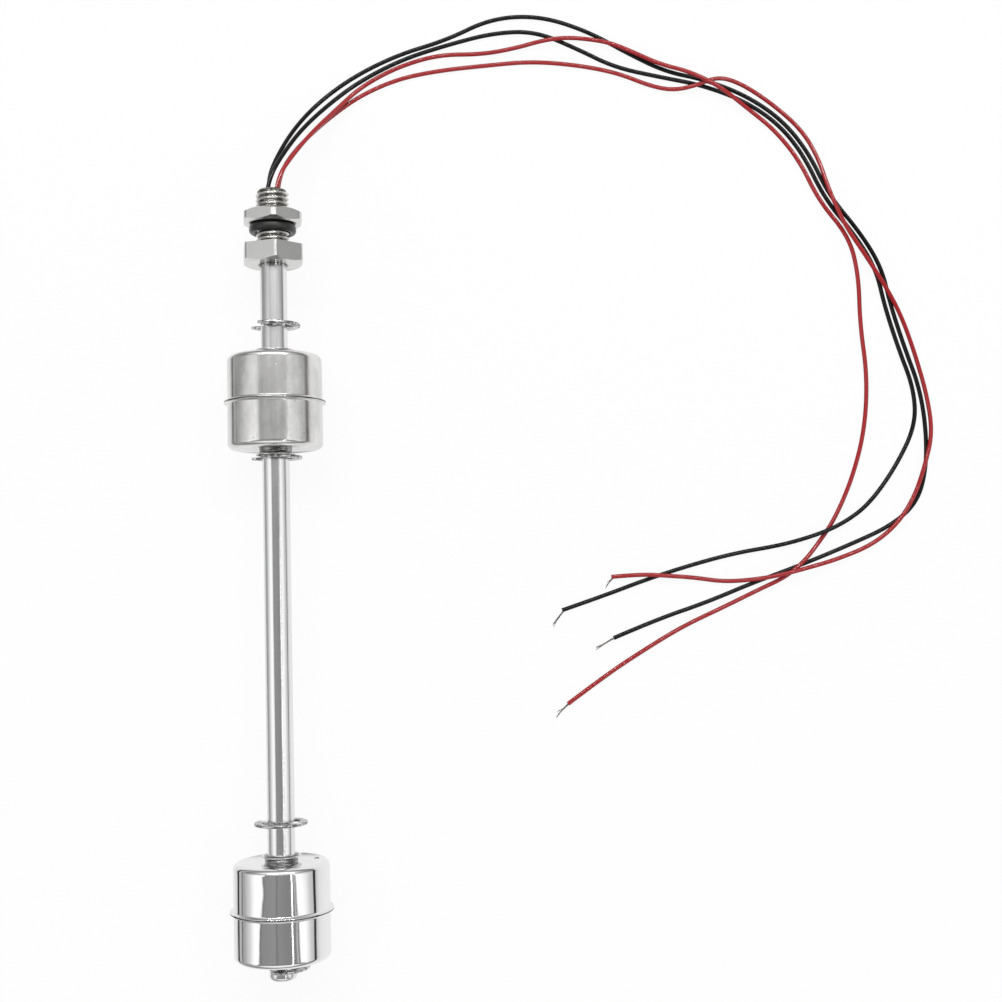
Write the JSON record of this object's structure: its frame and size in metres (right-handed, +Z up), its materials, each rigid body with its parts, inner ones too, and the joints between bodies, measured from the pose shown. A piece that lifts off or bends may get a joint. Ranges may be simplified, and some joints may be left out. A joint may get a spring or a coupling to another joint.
{
  "type": "float level switch",
  "caption": "Steel stem with sliding hollow floats between clips, a threaded fitting with lock nut and seal ring, and free wires with bare ends, lying on its side.",
  "frame": {"origin": "on the table, at the middle of the switch's length, below the stem's axis; the wires and their bare ends are left out", "axes": "+Y along the stem towards the threaded end, +X to the side on which the wires lie, +Z up from the table"},
  "size_m": [0.2146, 0.2907, 0.03],
  "materials": {
    "fitting_steel": "turned and milled stainless steel, satin",
    "nut_steel": "milled stainless steel, satin",
    "stem_steel": "drawn and polished stainless steel",
    "clip_steel": "stamped spring steel, bright",
    "upper_float_steel": "drawn stainless steel, satin",
    "lower_float_steel": "drawn stainless steel, mirror polished",
    "sleeve_steel": "drawn stainless steel, bright",
    "seal_rubber": "moulded black rubber",
    "magnet_ferrite": "pressed ferrite, matt",
    "spacer_plastic": "plain white plastic tube",
    "reed_glass": "clear green-tinted glass",
    "reed_blade_metal": "nickel-iron, plated",
    "reed_tubing_plastic": "shrunk black tubing",
    "potting_resin": "cast black resin",
    "wire_black": "smooth black insulation",
    "wire_red": "smooth red insulation",
    "tinned_strands": "tinned copper strands"
  },
  "bodies": {
    "switch_body": {"threaded_fitting": "fitting_steel", "stem_tube": "stem_steel", "stem_end_plug": "stem_steel", "wire_potting": "potting_resin", "upper_stop_clip": "clip_steel", "upper_rest_clip": "clip_steel", "lower_stop_clip": "clip_steel", "lower_rest_clip": "clip_steel", "upper_reed_glass": "reed_glass", "upper_reed_top_blade": "reed_blade_metal", "upper_reed_bottom_blade": "reed_blade_metal", "upper_reed_tubing": "reed_tubing_plastic", "lower_reed_glass": "reed_glass", "lower_reed_top_blade": "reed_blade_metal", "lower_reed_bottom_blade": "reed_blade_metal", "lower_reed_tubing": "reed_tubing_plastic", "inner_lead_black_outer": "wire_black", "inner_lead_black_inner": "wire_black", "inner_lead_red_inner": "wire_red", "inner_lead_red_outer": "wire_red", "wire_black_outer": "wire_black", "wire_black_inner": "wire_black", "wire_red_inner": "wire_red", "wire_red_outer": "wire_red", "bare_strands_black_outer": "tinned_strands", "bare_strands_black_inner": "tinned_strands", "bare_strands_red_inner": "tinned_strands", "bare_strands_red_outer": "tinned_strands"},
    "seal_ring": {"seal_ring": "seal_rubber"},
    "lock_nut": {"lock_nut": "nut_steel"},
    "upper_float": {"upper_float_top_cup": "upper_float_steel", "upper_float_bottom_cup": "upper_float_steel", "upper_float_sleeve": "sleeve_steel", "upper_float_magnet": "magnet_ferrite", "upper_float_magnet_spacer": "spacer_plastic"},
    "lower_float": {"lower_float_top_cup": "lower_float_steel", "lower_float_bottom_cup": "lower_float_steel", "lower_float_sleeve": "sleeve_steel", "lower_float_magnet": "magnet_ferrite", "lower_float_magnet_spacer": "spacer_plastic"}
  },
  "joints": [
    {"name": "upper_float_slide", "type": "slide", "parent": "switch_body", "child": "upper_float", "axis": [0, 1, 0], "range_m": [0, 0.007]},
    {"name": "lower_float_slide", "type": "slide", "parent": "switch_body", "child": "lower_float", "axis": [0, 1, 0], "range_m": [0, 0.0086]},
    {"name": "seal_ring_slide", "type": "slide", "parent": "switch_body", "child": "seal_ring", "axis": [0, 1, 0], "range_m": [-0.0037, 0.0063]},
    {"name": "lock_nut_spin", "type": "hinge", "parent": "seal_ring", "child": "lock_nut", "pos_m": [0, 0.10765, 0.015], "axis": [0, 1, 0], "range_deg": [-885, 1500]}
  ],
  "couplings": [
    {"joint": "seal_ring_slide", "follows": "lock_nut_spin", "m_per_rad": 0.00023873}
  ]
}
